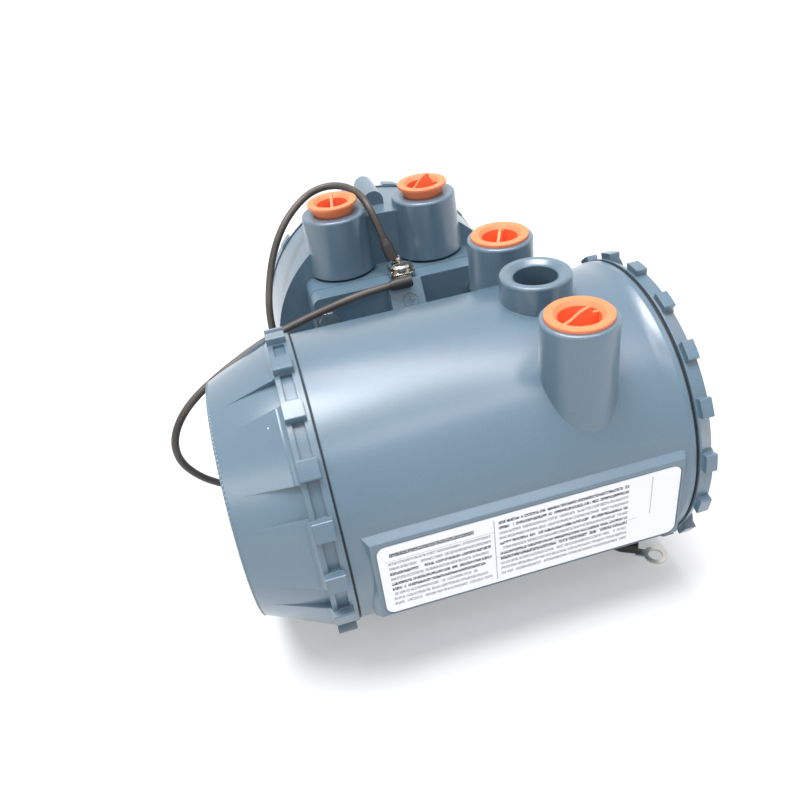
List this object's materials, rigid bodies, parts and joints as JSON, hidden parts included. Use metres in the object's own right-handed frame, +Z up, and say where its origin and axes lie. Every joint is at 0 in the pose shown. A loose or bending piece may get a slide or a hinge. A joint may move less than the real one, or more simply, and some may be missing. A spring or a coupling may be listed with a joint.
{
  "type": "magnetic flow meter transmitter",
  "caption": "Round cast housing lying on its screwed covers, with conduit entries, plastic caps, a blank label, a round junction box on a neck and earth leads under a clamp.",
  "frame": {"origin": "on the surface the object lies on, under the middle of its outline without its leads", "axes": "+X along the barrel from the display cover to the terminal cover, +Y from the label side to the junction box cover, +Z up along the conduit entries"},
  "size_m": [0.2421, 0.2535, 0.1652],
  "materials": {
    "blue_paint": "satin blue-grey enamel",
    "label": "white plastic-coated label, blank",
    "steel": "bright zinc-plated steel",
    "rubber": "black rubber",
    "potting": "black potting resin with pins",
    "board": "green circuit board",
    "brass": "turned brass",
    "dark_plastic": "black moulded plastic",
    "screen": "grey-green display panel, switched off",
    "capacitor": "aluminium cans",
    "glass": "clear tempered glass",
    "orange": "orange moulded polyethylene",
    "lead": "black soft insulation",
    "sleeve": "black shrink sleeve"
  },
  "bodies": {
    "housing_body": {"housing": "blue_paint", "nameplate": "label", "flange_bolts": "steel", "flange_gasket": "rubber", "neck_feed_through": "potting", "bulkhead_feed_through": "potting", "power_board": "board", "signal_board": "board", "display_board": "board", "board_standoffs": "brass", "display_bezel": "dark_plastic", "display_screen": "screen", "display_screws": "steel", "power_transformer": "dark_plastic", "power_capacitors": "capacitor", "terminal_block": "dark_plastic", "terminal_screws": "steel", "compartment_earth_screw": "steel", "junction_box": "blue_paint", "junction_terminal_block": "dark_plastic", "junction_terminal_screws": "steel", "earth_clamp": "steel", "earth_screw": "steel", "front_lead_ring": "steel", "rear_lead_ring": "steel", "front_lead_sleeve": "sleeve", "rear_lead_sleeve": "sleeve", "front_lead": "lead", "rear_lead": "lead", "front_lead_far_sleeve": "sleeve", "rear_lead_far_sleeve": "sleeve", "front_lead_far_ring": "steel", "rear_lead_far_ring": "steel"},
    "electronics_seal_body": {"electronics_cover_seal": "rubber"},
    "electronics_cover_body": {"electronics_cover": "blue_paint", "window_glass": "glass", "window_gasket": "rubber", "window_retainer": "steel"},
    "terminal_seal_body": {"terminal_cover_seal": "rubber"},
    "terminal_cover_body": {"terminal_cover": "blue_paint"},
    "junction_seal_body": {"junction_cover_seal": "rubber"},
    "junction_cover_body": {"junction_cover": "blue_paint"},
    "front_port_cap_body": {"front_port_cap": "orange"},
    "rear_port_cap_body": {"rear_port_cap": "orange"},
    "left_junction_cap_body": {"left_junction_cap": "orange"},
    "right_junction_cap_body": {"right_junction_cap": "orange"}
  },
  "joints": [
    {"name": "electronics_cover_travel", "type": "slide", "parent": "housing_body", "child": "electronics_seal_body", "axis": [-1, 0, 0], "range_m": [0, 0.0101]},
    {"name": "electronics_cover_turn", "type": "hinge", "parent": "electronics_seal_body", "child": "electronics_cover_body", "pos_m": [-0.06205, -0.0519, 0.0748], "axis": [-1, 0, 0], "range_deg": [0, 1800]},
    {"name": "terminal_cover_travel", "type": "slide", "parent": "housing_body", "child": "terminal_seal_body", "axis": [1, 0, 0], "range_m": [0, 0.0101]},
    {"name": "terminal_cover_turn", "type": "hinge", "parent": "terminal_seal_body", "child": "terminal_cover_body", "pos_m": [0.09505, -0.0519, 0.0748], "axis": [1, 0, 0], "range_deg": [0, 1800]},
    {"name": "junction_cover_travel", "type": "slide", "parent": "housing_body", "child": "junction_seal_body", "axis": [0, 1, 0], "range_m": [0, 0.0101]},
    {"name": "junction_cover_turn", "type": "hinge", "parent": "junction_seal_body", "child": "junction_cover_body", "pos_m": [0.00845, 0.1169, 0.0756], "axis": [0, 1, 0], "range_deg": [0, 1800]},
    {"name": "front_port_cap_pull", "type": "slide", "parent": "housing_body", "child": "front_port_cap_body", "axis": [0, 0, 1], "range_m": [0, 0.018]},
    {"name": "rear_port_cap_pull", "type": "slide", "parent": "housing_body", "child": "rear_port_cap_body", "axis": [0, 0, 1], "range_m": [0, 0.018]},
    {"name": "left_junction_cap_pull", "type": "slide", "parent": "housing_body", "child": "left_junction_cap_body", "axis": [0, 0, 1], "range_m": [0, 0.018]},
    {"name": "right_junction_cap_pull", "type": "slide", "parent": "housing_body", "child": "right_junction_cap_body", "axis": [0, 0, 1], "range_m": [0, 0.018]}
  ],
  "couplings": [
    {"joint": "electronics_cover_travel", "follows": "electronics_cover_turn", "m_per_rad": 0.00031831},
    {"joint": "terminal_cover_travel", "follows": "terminal_cover_turn", "m_per_rad": 0.00031831},
    {"joint": "junction_cover_travel", "follows": "junction_cover_turn", "m_per_rad": 0.00031831}
  ]
}
